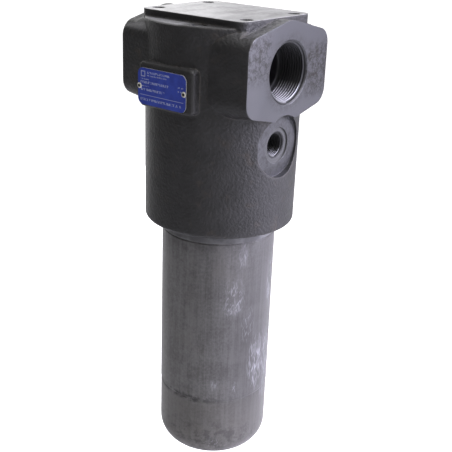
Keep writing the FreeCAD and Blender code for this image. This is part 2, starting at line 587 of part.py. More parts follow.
def make_core():
    """Tube with rows of windows that keeps the pleats from folding inwards."""
    core = new_body("element_core")
    top = "-chamber_roof - spigot_flange - hub_drop - cap_plate"
    low = "-element_bottom + cap_plate"
    inner = "hub_radius + running_gap"
    tube = turn(core, "tube", [
        (inner, low), (f"{inner} + core_thick", low), (f"{inner} + core_thick", top), (inner, top)])
    rows = int(number("core_rows"))

    def draw_windows(sketch):
        for row in range(rows):
            height = f"{low} + ({top} - ({low})) * {(row + 0.5) / rows}"
            draw_outline(sketch, box_outline(
                "-core_window_wide / 2", "core_window_wide / 2", f"{height} - core_window_high / 2",
                f"{height} + core_window_high / 2", "0"), f"window_{row}")

    windows = raise_outline(core, "windows", draw_windows, "YZ_Plane", "2 * hub_radius", cut=True, away=True)
    polar_copies(core, windows, "core_windows", "windows_around", tube.Profile[0], "V_Axis")
    return core


def make_media():
    """The pleated pack: a zigzag wall all round, between the two caps."""
    low = number("-element_bottom + cap_plate")
    top = number("-chamber_roof - spigot_flange - hub_drop - cap_plate")
    count = int(number("pleats"))
    fold = number("pleat_fold")

    def star(outer, inner):
        points = []
        for i in range(2 * count):
            radius = outer if i % 2 == 0 else inner
            angle = math.pi * i / count
            points.append(Vector(radius * math.cos(angle), radius * math.sin(angle), low))
        return Part.Wire(Part.makePolygon(points + points[:1]))

    outside = star(number("pleat_outer_radius"), number("pleat_inner_radius") + fold)
    inside = star(number("pleat_outer_radius") - fold, number("pleat_inner_radius"))
    media = doc.addObject("Part::Feature", "element_media")
    section = Part.makeFace([outside, inside], "Part::FaceMakerBullseye")
    media.Shape = section.extrude(Vector(0, 0, top - low))
    media.Label = "element_media"
    media.Placement = FreeCAD.Placement()
    return media


def make_bottom_cap():
    """Pressed cap that closes the element, with a stub that centres the spring seat."""
    cap = new_body("element_bottom_cap")
    low = "-element_bottom"
    turn(cap, "cap", [
        ("0", f"{low} - stub_long"), ("stub_radius - stub_edge", f"{low} - stub_long"),
        ("stub_radius", f"{low} - stub_long + stub_edge"), ("stub_radius", low),
        ("element_radius - cap_edge", low), ("element_radius", f"{low} + cap_edge"),
        ("element_radius", f"{low} + cap_skirt"),
        ("element_radius - cap_wall", f"{low} + cap_skirt"),
        ("element_radius - cap_wall", f"{low} + cap_plate"), ("0", f"{low} + cap_plate")])
    return cap


def make_spring_seat():
    seat = new_body("element_spring_seat")
    top = "-element_bottom"
    turn(seat, "dish", [
        ("stub_radius + clear_gap", top), ("spring_seat_radius - spring_seat_edge", top),
        ("spring_seat_radius", f"{top} - spring_seat_edge"),
        ("spring_seat_radius", f"{top} - spring_seat_lip"),
        ("spring_seat_radius - spring_seat_thick", f"{top} - spring_seat_lip"),
        ("spring_seat_radius - spring_seat_thick", f"{top} - spring_seat_thick"),
        ("stub_radius + clear_gap", f"{top} - spring_seat_thick")])
    return seat


def groove_top():
    return "-seat_depth - seal_groove_drop"


def make_bowl():
    """Drawn steel tube with a welded, rounded bottom and a hexagon for the spanner."""
    bowl = new_body("bowl")
    shoulder = "-head_depth + bowl_shoulder_rise"
    nose = "socket_nose_radius - running_gap"
    groove_low = f"{groove_top()} - seal_ring_wire - backup_thick - 4 * seal_gap - seal_groove_room"
    turn(bowl, "shell", [
        ("bowl_inner_radius", "-seat_depth"), (f"{nose} - nose_lead", "-seat_depth"),
        (nose, "-seat_depth - nose_lead"), (nose, groove_top()), ("seal_groove_radius", groove_top()),
        ("seal_groove_radius", groove_low), (nose, groove_low), (nose, "-seat_depth - nose_long"),
        ("bowl_thread_root", "-seat_depth - nose_long - thread_runout"), ("bowl_thread_root", shoulder),
        ("collar_radius", shoulder), ("collar_radius", "-collar_foot"),
        ("tube_radius - scored_line", "-collar_foot"),
        ("tube_radius - scored_line", "-collar_foot - scored_width"),
        ("tube_radius", "-collar_foot - scored_width - scored_line"),
        ("tube_radius", "-weld_depth"), ("cap_radius - scored_line / 2", "-weld_depth - scored_width"),
        ("cap_radius", "-weld_depth - 2 * scored_width"), ("cap_radius", "-cap_bottom", "cap_round"),
        ("boss_flats / 2", "-cap_bottom - dome_sag"), ("0", "-cap_bottom - dome_sag"),
        ("0", "-bowl_floor"), ("bowl_inner_radius", "-bowl_floor", "floor_round")])
    raise_outline(bowl, "spanner_boss", lambda sketch: draw_outline(sketch, hexagon("boss_flats")),
                  "XY_Plane", "boss_bottom - cap_bottom", shift=(0, 0, "-boss_bottom"))
    turn(bowl, "drain_hole", [
        ("0", "-boss_bottom"), ("drain_thread_radius", "-boss_bottom"),
        ("drain_thread_radius", "-boss_bottom + drain_thread_length"),
        ("drain_bore_radius", "-boss_bottom + drain_thread_length"),
        ("drain_bore_radius", "-bowl_floor"), ("0", "-bowl_floor")], cut=True)
    return bowl


def make_backup_ring():
    ring = new_body("bowl_backup_ring")
    top = f"{groove_top()} - seal_ring_wire - 2 * seal_gap - seal_groove_room / 2"
    turn(ring, "ring", [
        ("seal_groove_radius + seal_gap", f"{top} - backup_thick"),
        ("socket_nose_radius - running_gap", f"{top} - backup_thick"),
        ("socket_nose_radius - running_gap", top), ("seal_groove_radius + seal_gap", top)])
    return ring


def make_drain_seal():
    seal = new_body("drain_plug_seal")
    raise_outline(seal, "washer", lambda sketch: (
        draw_circle(sketch, "0", "0", "drain_collar_radius", "outer"),
        draw_circle(sketch, "0", "0", "drain_shank_radius + clear_gap", "inner")),
        "XY_Plane", "drain_seal_thick", shift=(0, 0, "-boss_bottom - drain_seal_thick"))
    return seal


def make_drain_plug():
    """Screw plug with a round collar and a hexagon socket."""
    plug = new_body("drain_plug")
    seat = "-boss_bottom - drain_seal_thick"
    low = f"{seat} - drain_collar_high"
    turn(plug, "body", [
        ("0", low), ("drain_collar_radius", low, "drain_collar_round"), ("drain_collar_radius", seat),
        ("drain_shank_radius", seat),
        ("drain_shank_radius", f"{seat} + drain_shank_length - drain_shank_lead"),
        ("drain_shank_radius - drain_shank_lead", f"{seat} + drain_shank_length"),
        ("0", f"{seat} + drain_shank_length")])
    raise_outline(plug, "key_socket", lambda sketch: draw_outline(sketch, hexagon("drain_key_flats")),
                  "XY_Plane", "drain_key_deep", shift=(0, 0, low), cut=True, away=True)
    return plug


spring_low = "-bowl_floor"
spring_high = "-element_bottom - spring_seat_thick"
nodes = [
    make_head(), make_nameplate(), make_rivets(), make_passage_plug(), make_spigot(),
    make_bypass_body(), make_bypass_poppet(), make_bypass_guide(), make_bypass_clip(),
    make_coil("bypass_spring", "bypass_coil_radius", "bypass_wire",
              "-bypass_seat_depth + poppet_thick", guide_low(), "bypass_coils", "bypass_place"),
    make_top_cap(),
    ring_of_wire("element_o_ring", "spigot_radius", "ring_groove_radius",
                 "-chamber_roof - spigot_flange - ring_groove_place - ring_groove_wide / 2"),
    make_core(), make_media(), make_bottom_cap(), make_spring_seat(),
    make_coil("element_spring", "spring_radius", "spring_wire", spring_low, spring_high, "spring_coils"),
    make_bowl(),
    ring_of_wire("bowl_o_ring", "seal_groove_radius", "socket_nose_radius",
                 f"{groove_top()} - seal_ring_wire / 2 - seal_gap"),
    make_backup_ring(), make_drain_seal(), make_drain_plug(),
]
doc.recompute()

for item in doc.Objects:
    if "Invalid" in item.State or "Error" in item.State:
        raise ValueError(f"{item.Name} failed: {item.State}")
for node in nodes:
    if node.Shape.isNull() or not node.Shape.isValid():
        raise ValueError(f"{node.Label} has no valid shape")

os.makedirs("parts", exist_ok=True)
for node in nodes:
    node.Shape.exportStep(f"parts/{node.Label}.step")
    print(f"{node.Label}: {len(node.Shape.Solids)} solid(s), {node.Shape.Volume:.0f} mm3")
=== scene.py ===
import math

import bpy
from mathutils import Matrix, Vector


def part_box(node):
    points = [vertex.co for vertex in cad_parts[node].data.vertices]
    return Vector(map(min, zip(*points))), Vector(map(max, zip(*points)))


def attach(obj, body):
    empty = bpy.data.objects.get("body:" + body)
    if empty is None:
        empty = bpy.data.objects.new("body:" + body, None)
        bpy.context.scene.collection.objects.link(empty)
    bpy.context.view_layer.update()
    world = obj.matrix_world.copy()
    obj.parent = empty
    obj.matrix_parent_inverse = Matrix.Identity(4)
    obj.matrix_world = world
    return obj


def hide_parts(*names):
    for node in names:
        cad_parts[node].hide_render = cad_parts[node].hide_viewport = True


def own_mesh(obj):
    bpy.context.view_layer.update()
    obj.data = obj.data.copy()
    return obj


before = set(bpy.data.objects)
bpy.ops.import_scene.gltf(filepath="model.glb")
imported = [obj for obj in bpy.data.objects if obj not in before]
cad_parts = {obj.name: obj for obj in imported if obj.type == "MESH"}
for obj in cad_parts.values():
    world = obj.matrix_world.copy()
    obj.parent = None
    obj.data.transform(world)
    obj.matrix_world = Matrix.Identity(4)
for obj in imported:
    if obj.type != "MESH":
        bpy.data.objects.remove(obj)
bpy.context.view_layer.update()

# Camera. It stands in front of the filter, to the right and above, and looks down at it as the
# photograph does: a long lens, turned a little so that the filter leans.
CAMERA_TURN = 38.594
CAMERA_RISE = 21.016
CAMERA_LEAN = 2.162
CAMERA_DISTANCE = 0.74
CAMERA_TARGET = Vector((0.00493, 0.00394, -0.18127))
CAMERA_SENSOR = 36
CAMERA_LENS = 68.48
CAMERA_REACH = 60


def direction(turn, rise):
    """Unit vector for degrees turned from the front to the right, and degrees above level."""
    turn, rise = math.radians(turn), math.radians(rise)
    return Vector((math.sin(turn) * math.cos(rise), -math.cos(turn) * math.cos(rise),
                   math.sin(rise)))


def looking_at(target, turn, rise, distance):
    """The place of a camera or a lamp that looks at a target from that direction."""
    away = direction(turn, rise)
    return (Matrix.Translation(target + away * distance)
            @ away.to_track_quat("Z", "Y").to_matrix().to_4x4())


camera_data = bpy.data.cameras.new("camera")
camera_data.sensor_width = CAMERA_SENSOR
camera_data.lens = CAMERA_LENS
camera_data.clip_end = CAMERA_REACH
camera = bpy.data.objects.new("camera", camera_data)
bpy.context.scene.collection.objects.link(camera)
camera.matrix_world = (looking_at(CAMERA_TARGET, CAMERA_TURN, CAMERA_RISE, CAMERA_DISTANCE)
                       @ Matrix.Rotation(math.radians(CAMERA_LEAN), 4, "Z"))
bpy.context.scene.camera = camera
bpy.context.scene.view_settings.view_transform = "Standard"

# Floor. A pale sheet well below the filter, which hangs from its mounting face; it runs back to
# the horizon and shows white to the camera, under a soft shadow. To the filter its colour is
# painted grey near the front and pale towards the back on the right, a painted pool of light and
# shade, and the filter's sides mirror that painted light.
FLOOR_HEIGHT = -0.62
FLOOR_WIDE = 60
FLOOR_PAINTED_SHADE = (0.45, 0.45, 0.45)
FLOOR_PAINTED_LIGHT = (0.9, 0.9, 0.9)
FLOOR_SEEN = (0.8, 0.8, 0.8)
FLOOR_GLOW = (0.7, 0.7, 0.7)
PAINTED_LIGHT_RIGHT, PAINTED_LIGHT_BACK = 0.53, 0.85
PAINTED_LIGHT_FADE = (-1300, 900)


class Wire:
    """A socket in a node tree. Sums written on it add Math nodes."""

    def __init__(self, tree, socket):
        self.tree = tree
        self.socket = socket

    def worked(self, operation, first, second):
        return self.tree.add("ShaderNodeMath", {"operation": operation}, {0: first, 1: second})

    def __add__(self, other):
        return self.worked("ADD", self, other)

    __radd__ = __add__

    def __sub__(self, other):
        return self.worked("SUBTRACT", self, other)

    def __rsub__(self, other):
        return self.worked("SUBTRACT", other, self)

    def __mul__(self, other):
        return self.worked("MULTIPLY", self, other)

    __rmul__ = __mul__

    def __truediv__(self, other):
        return self.worked("DIVIDE", self, other)

    def __pow__(self, other):
        return self.worked("POWER", self, other)

    def __abs__(self):
        return self.worked("ABSOLUTE", self, 0)

    def largest(self, *others):
        result = self
        for other in others:
            result = self.worked("MAXIMUM", result, other)
        return result

    def least(self, other):
        return self.worked("MINIMUM", self, other)

    def back_and_forth(self, step):
        """Climbs from 0 to step and falls back again, over and over."""
        return self.worked("PINGPONG", self, step)

    def ramp(self, start, end):
        """0 before start and 1 past end; start may be the larger."""
        return self.tree.add("ShaderNodeMapRange", {"interpolation_type": "SMOOTHSTEP"},
                             {"Value": self, "From Min": start, "From Max": end})


def apart(first, second):
    """How far two points are apart, from the steps between them in two directions."""
    return (first * first + second * second) ** 0.5


class Tree:
    """A node tree, and the one way to add nodes to it."""

    def __init__(self, tree):
        self.tree = tree

    def feed(self, socket, value):
        if isinstance(value, Wire):
            self.tree.links.new(value.socket, socket)
        elif socket.type == "RGBA":
            socket.default_value = (*value, 1)
        else:
            socket.default_value = value

    def add(self, kind, settings=None, inputs=None, output=0):
        node = self.tree.nodes.new(kind)
        for name, value in (settings or {}).items():
            setattr(node, name, value)
        for name, value in (inputs or {}).items():
            self.feed(node.inputs[name], value)
        return Wire(self, node.outputs[output])


class Finish(Tree):
    """A material. Places and lengths in it are millimetres."""

    def __init__(self, name, **constants):
        self.material = bpy.data.materials.new(name)
        self.material.use_nodes = True
        super().__init__(self.material.node_tree)
        self.shader = self.tree.nodes["Principled BSDF"]
        self.set(**constants)
        self.spot = self.add("ShaderNodeVectorMath", {"operation": "SCALE"}, {
            0: self.add("ShaderNodeTexCoord", None, None, "Object"), "Scale": 1000})
        self.x, self.y, self.z = (
            self.add("ShaderNodeSeparateXYZ", None, {0: self.spot}, axis) for axis in "XYZ")
        self.out = apart(self.x, self.y)

    def set(self, **values):
        """Sets the shader's sockets: base_color stands for Base Color."""
        for name, value in values.items():
            socket = name.replace("_", " ").title().replace("Ior", "IOR")
            self.feed(self.shader.inputs[socket], value)

    def noise(self, size, detail=2.0, stretch=(1, 1, 1), shift=0.0, roughness=0.5, tilt=0.0):
        """Cloudy noise from about 0.2 to 0.8, its lumps about size across.

        A stretch under 1 draws the lumps out along its axis, and shift picks other lumps.
        """
        moved = self.add("ShaderNodeMapping", {"vector_type": "TEXTURE"}, {
            "Vector": self.spot, "Rotation": (tilt, 0, 0),
            "Scale": tuple(1 / part for part in stretch),
            "Location": (shift, 0.7 * shift, 1.3 * shift)})
        return self.add("ShaderNodeTexNoise", None, {
            "Vector": moved, "Scale": 1 / size, "Detail": detail, "Roughness": roughness})

    def blend(self, share, first, second):
        """The first colour where share is 0, the second where it is 1."""
        # A Mix node's colours go in at sockets 6 and 7 and come out at 2.
        return self.add("ShaderNodeMix", {"data_type": "RGBA"}, {0: share, 6: first, 7: second}, 2)

    def bump(self, height, depth, normal=None):
        """The normal, tilted by a height whose 1 stands for depth."""
        inputs = {"Height": height, "Distance": depth / 1000}
        if normal is not None:
            inputs["Normal"] = normal
        return self.add("ShaderNodeBump", None, inputs)

    def turned(self, out, width):
        """Fine rings that a cutter leaves round the axis that out is measured from."""
        place = self.add("ShaderNodeCombineXYZ", None, {0: out, 1: self.z})
        return self.add("ShaderNodeTexNoise", {"noise_dimensions": "2D"}, {
            "Vector": place, "Scale": 1 / width, "Detail": 1})

    def softened(self, radius):
        """The normal with edges rounded off to a radius."""
        return self.add("ShaderNodeBevel", {"samples": 6}, {"Radius": radius / 1000})


bpy.ops.object.select_all(action="DESELECT")
bpy.ops.mesh.primitive_grid_add(x_subdivisions=8, y_subdivisions=8, size=FLOOR_WIDE,
                                location=(0, 0, FLOOR_HEIGHT))
floor = bpy.context.object
floor.name = "floor"
sheet = Finish("white_floor", roughness=0.9, specular_ior_level=0.1, emission_strength=1)
seen = sheet.add("ShaderNodeLightPath", None, None, "Is Camera Ray")
# The floor's colour as the filter sees it is painted light and shade: grey in front, pale behind
# on the right.
painted_light_towards_back = (sheet.x * PAINTED_LIGHT_RIGHT + sheet.y * PAINTED_LIGHT_BACK).ramp(*PAINTED_LIGHT_FADE)
sheet.set(base_color=sheet.blend(seen, sheet.blend(painted_light_towards_back, FLOOR_PAINTED_SHADE, FLOOR_PAINTED_LIGHT), FLOOR_SEEN),
          emission_color=sheet.blend(seen, (0, 0, 0), FLOOR_GLOW))
floor.data.materials.append(sheet.material)

# Light. A white room that is brighter behind the filter and to its right, a large soft lamp on
# that side, a little blue, a weaker one overhead and a faint one to the left.
ROOM_BRIGHT_SIDE = direction(148, 20)
ROOM_DIM = 0.12
ROOM_BRIGHTER = 0.62
ROOM_MIRRORED = 0.3
LAMP_TARGET = Vector((0, 0, -0.2))
world = bpy.data.worlds.new("room")
bpy.context.scene.world = world
world.use_nodes = True
room = Tree(world.node_tree)
facing = room.add("ShaderNodeVectorMath", {"operation": "DOT_PRODUCT"}, {
    0: room.add("ShaderNodeTexCoord", None, None, "Generated"), 1: ROOM_BRIGHT_SIDE}, "Value")
mirrored = room.add("ShaderNodeLightPath", None, None, "Is Glossy Ray")
seen = room.add("ShaderNodeLightPath", None, None, "Is Camera Ray")
level = (facing.ramp(-0.9, 0.7) * ROOM_BRIGHTER + ROOM_DIM
         + mirrored * facing.ramp(-0.7, 0.5) * ROOM_MIRRORED)
background = world.node_tree.nodes["Background"]
room.feed(background.inputs["Strength"], level.largest(seen))
room.feed(background.inputs["Color"], (1, 1, 1))


def add_lamp(name, turn, rise, distance, wide, high, power, colour=(1, 1, 1)):
    """A soft box that faces the filter."""
    data = bpy.data.lights.new(name, "AREA")
    data.shape = "RECTANGLE"
    data.size = wide
    data.size_y = high
    data.energy = power
    data.color = colour
    lamp = bpy.data.objects.new(name, data)
    bpy.context.scene.collection.objects.link(lamp)
    lamp.matrix_world = looking_at(LAMP_TARGET, turn, rise, distance)


add_lamp("side_lamp", turn=118, rise=24, distance=1.4, wide=0.8, high=1.1, power=42,
         colour=(0.82, 0.8, 1.0))
add_lamp("top_lamp", turn=70, rise=72, distance=1.5, wide=0.9, high=0.9, power=13)
add_lamp("left_lamp", turn=-118, rise=5, distance=1.5, wide=1.2, high=1.4, power=12)

# Head. One casting of ductile iron with a dark phosphate coat on its orange peel skin; the top,
# the port faces and the indicator seat are machined bare and show grey metal, and the bores,
# machined too, are painted near black as the shade inside them.
CAST_DARK = (0.006, 0.0055, 0.006)
CAST_PALE = (0.016, 0.015, 0.016)
CAST_BROWN = (0.034, 0.025, 0.019)
CAST_DUST_AND_HIGHLIGHT = (0.15, 0.148, 0.155)
FACE_GREY = (0.084, 0.084, 0.090)
FACE_PALE = (0.16, 0.16, 0.17)
FACE_STAIN = (0.030, 0.027, 0.024)
TOP_GREY = (0.17, 0.167, 0.17)
TOP_SWIRL = (0.36, 0.355, 0.36)
BORE_RING_PAINTED_SHADE = (0.05, 0.05, 0.052)
BORE_PAINTED_SHADE = (0.022, 0.022, 0.025)
PORT_Z = -39.7
PORT_FACE = 63.5
PORT_MOUTH = 24
PORT_RIM = 26
PORT_SHOULDER = 39.4
GAUGE_Y = -2
GAUGE_Z = -97.5
GAUGE_FACE = 57.4
GAUGE_FLAT = 25.05
GAUGE_SINK = 14.5
GAUGE_HOLE = 11
GAUGE_FLOOR = 40
HOLLOW_WIDE = 55
HOLLOW_TOP = -5.6
STAIN_BACK_Z = -41
STAIN_FRONT_Z = -26
MILL_X, MILL_Y = -190, 60


def from_port_axis(finish):
    return apart(finish.y, finish.z - PORT_Z)


def from_gauge_axis(finish):
    return apart(finish.y - GAUGE_Y, finish.z - GAUGE_Z)


cast = Finish("phosphated_iron", specular_ior_level=0.58)
from_middle = abs(cast.x)
from_port = from_port_axis(cast)
from_gauge = from_gauge_axis(cast)

# Where the casting is machined bare, and where it is bored.
top_face = cast.z.ramp(-0.5, -0.1)
port_face = from_middle.ramp(PORT_FACE - 0.6, PORT_FACE - 0.2)
port_rim = (from_port.ramp(PORT_RIM, PORT_RIM - 0.1)
            * from_middle.ramp(PORT_FACE - 1.2, PORT_FACE - 1.15))
gauge_face = (from_gauge.ramp(GAUGE_FLAT + 0.02, GAUGE_FLAT)
              * cast.x.ramp(GAUGE_FACE - 0.1, GAUGE_FACE - 0.06))
bare = top_face.largest(port_face, port_rim, gauge_face)
port_bore = (from_port.ramp(PORT_MOUTH + 0.1, PORT_MOUTH)
             * from_middle.ramp(PORT_SHOULDER, PORT_SHOULDER + 0.1))
gauge_bore = (from_gauge.ramp(GAUGE_SINK + 0.02, GAUGE_SINK)
              * cast.x.ramp(GAUGE_FLOOR, GAUGE_FLOOR + 1))
hollow = (cast.out.ramp(HOLLOW_WIDE, HOLLOW_WIDE - 1)
          * cast.z.ramp(HOLLOW_TOP, HOLLOW_TOP - 0.4))
bored = port_bore.largest(gauge_bore, hollow)

# The skin is brown in places and at its edges and worn at its corners; where it looks up, most
# on the right, it is pale with dust and painted light from above, and the ledge's roof carries a
# painted highlight.
true_normal = cast.add("ShaderNodeNewGeometry", None, None, "Normal")
looks_up = cast.add("ShaderNodeSeparateXYZ", None, {0: true_normal}, "Z")
edge = cast.add("ShaderNodeVectorMath", {"operation": "DOT_PRODUCT"}, {
    0: cast.softened(1.2), 1: true_normal}, "Value")
skin_cloud = cast.noise(16, 4)
skin_peel = cast.noise(2.2, 1, shift=5).ramp(0.3, 0.7)
skin_lumps = cast.noise(8, 2, shift=3)
brown_cloud = cast.noise(11, 5, shift=23)
brown = (brown_cloud.ramp(0.56, 0.8) * 0.7).largest(
    edge.ramp(0.999, 0.97) * brown_cloud.ramp(0.35, 0.6) * 0.8)
# Paler where the skin looks up, most on the right: dust, and painted light from above.
dust_and_top_light = (looks_up.ramp(0.3, 0.75) * (0.1 + 0.9 * cast.x.ramp(15, 62) * cast.y.ramp(-50, -34))
        * cast.noise(3.5, 6, roughness=0.7, shift=51).ramp(0.36, 0.62))
worn_edge = edge.ramp(0.97, 0.75) * cast.noise(2.5, 4, shift=17).ramp(0.4, 0.6)
# A painted highlight along the front of the ledge's roof, under the top block.
ledge_painted_highlight = (looks_up.ramp(0.1, 0.5) * cast.y.ramp(-46, -49)
               * cast.x.ramp(12, 2) * cast.z.ramp(-17, -13))
skin = cast.blend(skin_cloud.ramp(0.3, 0.8), CAST_DARK, CAST_PALE)
skin = cast.blend(brown, skin, CAST_BROWN)
skin = cast.blend((dust_and_top_light * 0.7).largest(worn_edge * 0.5, ledge_painted_highlight * 0.7), skin, CAST_DUST_AND_HIGHLIGHT)

# The bare faces are paler low down and to the front, stained beside the ports, milled on top.
lace = abs(cast.noise(7, 6, shift=11, roughness=0.72) - 0.5).ramp(0.05, 0.0)
clots = cast.noise(5, 6, shift=13, roughness=0.7).ramp(0.47, 0.62)
beside_port = (cast.y.ramp(18, 27) * abs(cast.z - STAIN_BACK_Z).ramp(26, 14)).largest(
    cast.y.ramp(-20, -27) * abs(cast.z - STAIN_FRONT_Z).ramp(24, 10) * 0.8,
    from_port.ramp(34, 25) * 0.4)
face = cast.blend((cast.z.ramp(-42, -72) * 0.3).largest(cast.y.ramp(-12, -44) * 0.35),
                  FACE_GREY, FACE_PALE)
face = cast.blend((lace * 0.8).largest(clots * 0.9) * beside_port, face, FACE_STAIN)
face = cast.blend(gauge_face * (lace * 0.3).largest(clots * 0.45), face, FACE_STAIN)
face = cast.blend(worn_edge * port_face.largest(gauge_face) * 0.7, face, FACE_PALE)
mill_arcs = cast.turned(apart(cast.x - MILL_X, cast.y - MILL_Y), 1.1)
swirl = (cast.noise(20, 7, stretch=(1.4, 0.6, 1), shift=31, roughness=0.66) * 0.55
         + cast.noise(3, 5, shift=33) * 0.25 + mill_arcs * 0.2)
face = cast.blend(top_face, face, cast.blend(swirl.ramp(0.36, 0.62), TOP_GREY, TOP_SWIRL))
# Bores are painted dark as the shade inside them; the ring round the indicator's hole is painted a
# little less dark.
bore_shade = cast.blend(gauge_bore * from_gauge.ramp(GAUGE_HOLE, GAUGE_HOLE + 0.2),
                  BORE_PAINTED_SHADE, BORE_RING_PAINTED_SHADE)
# A Mix node's vectors go in at sockets 4 and 5 and come out at 1.
rounded = cast.add("ShaderNodeMix", {"data_type": "VECTOR"}, {
    0: bare, 4: cast.softened(2.6), 5: cast.softened(0.6)}, 1)
cast.set(
    base_color=cast.blend(bored, cast.blend(bare, skin, face), bore_shade),
    metallic=bare.least(1 - bored) * (0.95 - top_face * 0.35),
    roughness=0.5 + skin_cloud * 0.12 - bare * 0.1,
    normal=cast.bump((skin_peel * 0.5 + skin_lumps * 0.6) * (1 - bare.largest(bored)), 0.36,
                     rounded))


def paint(finish, *names):
    """Gives CAD pieces a finish, in place of the one they came with."""
    for name in names:
        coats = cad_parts[name].data.materials
        coats.clear()
        coats.append(finish.material)


paint(cast, "head")

# Threads cut in the head. They are tapped in the bare iron: a pipe thread in each port, a fine
# one for the indicator, four for the mounting screws and one that the bowl screws into.
THREAD_IRON = (0.2, 0.2, 0.21)
GAUGE_IRON = (0.12, 0.12, 0.125)
OIL_AND_SHADE_DARK = (0.006, 0.006, 0.007)
PORT_OIL_AND_SHADE = (0.012, 0.012, 0.014)
BOLT_X, BOLT_Y = 44, 30
BOLT_FOOT = -17
PORT_THREAD_FOOT = 39.5
GAUGE_THREAD_FOOT = 42.1
CREST_SHARE = 0.06
ROOT_SHARE = 0.42


def in_edit_mode(*steps):
    """Runs edit operators, each given as a function and its arguments."""
    bpy.ops.object.mode_set(mode="EDIT")
    for operator, arguments in steps:
        operator(**arguments)
    bpy.ops.object.mode_set(mode="OBJECT")


def sweep_screw(piece, pitch, angle, steps, repeats=1):
    """Sweeps a piece's outline round Z while it climbs, and closes its two ends."""
    screw = piece.modifiers.new("screw", "SCREW")
    screw.axis = "Z"
    screw.angle = angle
    screw.screw_offset = pitch / 1000
    screw.iterations = repeats
    screw.steps = steps
    screw.render_steps = steps
    screw.use_merge_vertices = False
    bpy.ops.object.modifier_apply(modifier="screw")
    in_edit_mode(
        (bpy.ops.mesh.select_mode, {"type": "EDGE"}),
        (bpy.ops.mesh.select_all, {"action": "DESELECT"}),
        (bpy.ops.mesh.select_non_manifold, {}),
        (bpy.ops.mesh.edge_face_add, {}),
        (bpy.ops.mesh.select_all, {"action": "SELECT"}),
        (bpy.ops.mesh.normals_make_consistent, {"inside": False}))
    bpy.ops.object.shade_smooth_by_angle(angle=math.radians(40))


def add_thread(name, body, finish, root, crest, low, turns, pitch, steps=96):
    """The ridge of a screw thread round Z, its foot sunk a little into the metal at the root."""
    sunk = math.copysign(0.1, root - crest)
    bpy.ops.object.select_all(action="DESELECT")
    bpy.ops.mesh.primitive_plane_add(size=1, rotation=(math.pi / 2, 0, 0))
    ridge = bpy.context.object
    ridge.name = name
    bpy.ops.object.transform_apply(rotation=True)
    for corner in ridge.data.vertices:
        at_crest = corner.co.x > 0
        half = pitch * (CREST_SHARE if at_crest else ROOT_SHARE)
        corner.co = Vector((crest if at_crest else root + sunk, 0,
                            low + math.copysign(half, corner.co.z))) / 1000
    in_edit_mode((bpy.ops.mesh.select_all, {"action": "SELECT"}),
                 (bpy.ops.mesh.delete, {"type": "ONLY_FACE"}))
    sweep_screw(ridge, pitch, 2 * math.pi, steps, turns)
    ridge.data.materials.append(finish.material)
    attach(ridge, body)
    return ridge


def put(piece, place, turn=(0, 0, 0)):
    """Turns and moves a piece, and leaves the place in its mesh."""
    bpy.ops.object.select_all(action="DESELECT")
    piece.select_set(True)
    bpy.context.view_layer.objects.active = piece
    piece.rotation_euler = turn
    piece.location = Vector(place) / 1000
    bpy.ops.object.transform_apply(location=True, rotation=True, scale=True)


def cut_metal(name, away, root, crest, pale, painted_glint_below=None, dark=OIL_AND_SHADE_DARK):
    """A cut thread: its crests are bright and oil lies dark in its roots; given a height range, it
    is painted bright below it as a glint and dark above it as shade.
    """
    finish = Finish(name)
    smear = finish.noise(1.5, 3)
    height = away(finish).ramp(root, crest) * smear.ramp(0.2, 0.45)
    if painted_glint_below is not None:
        height = height * finish.z.ramp(*painted_glint_below)
    finish.set(base_color=finish.blend(height, dark, pale),
               metallic=height * 0.85,
               roughness=0.6 - height * 0.24,
               normal=finish.bump(smear, 0.03))
    return finish


# The port and indicator threads are painted dark as shade high in their holes and bright low down,
# a painted glint of the lamp.
port_metal = cut_metal("port_thread_iron", from_port_axis, 23.3, 22.6, THREAD_IRON,
                       painted_glint_below=(PORT_Z - 10, PORT_Z - 14), dark=PORT_OIL_AND_SHADE)
for side, name in ((1, "outlet"), (-1, "inlet")):
    ridge = add_thread(f"{name}_port_thread", "head_assembly", port_metal,
                       root=23.9, crest=22.42, low=1.8, turns=9, pitch=2.309)
    put(ridge, (side * PORT_THREAD_FOOT, 0, PORT_Z), (0, side * math.pi / 2, 0))

gauge_metal = cut_metal("indicator_thread_iron", from_gauge_axis, 9.8, 9.3, GAUGE_IRON,
                        painted_glint_below=(GAUGE_Z - 3, GAUGE_Z - 7))
ridge = add_thread("indicator_port_thread", "head_assembly", gauge_metal,
                   root=10, crest=9.1, low=1.0, turns=8, pitch=1.5)
put(ridge, (GAUGE_THREAD_FOOT, GAUGE_Y, GAUGE_Z), (0, math.pi / 2, 0))

bolt_metal = cut_metal(
    "mounting_thread_iron",
    lambda finish: apart(abs(finish.x) - BOLT_X, abs(finish.y) - BOLT_Y), 4.9, 4.4, THREAD_IRON)
for i, (right, back) in enumerate(((-1, -1), (-1, 1), (1, -1), (1, 1)), start=1):
    ridge = add_thread(f"mounting_thread_{i}", "head_assembly", bolt_metal,
                       root=5, crest=4.2, low=1.0, turns=10, pitch=1.5, steps=48)
    put(ridge, (right * BOLT_X, back * BOLT_Y, BOLT_FOOT))

socket_metal = cut_metal("socket_thread_iron", lambda finish: finish.out, 47.4, 46.7, THREAD_IRON)
add_thread("bowl_socket_thread", "head_assembly", socket_metal,
           root=47.58, crest=46.45, low=-164.0, turns=15, pitch=2.0, steps=120)

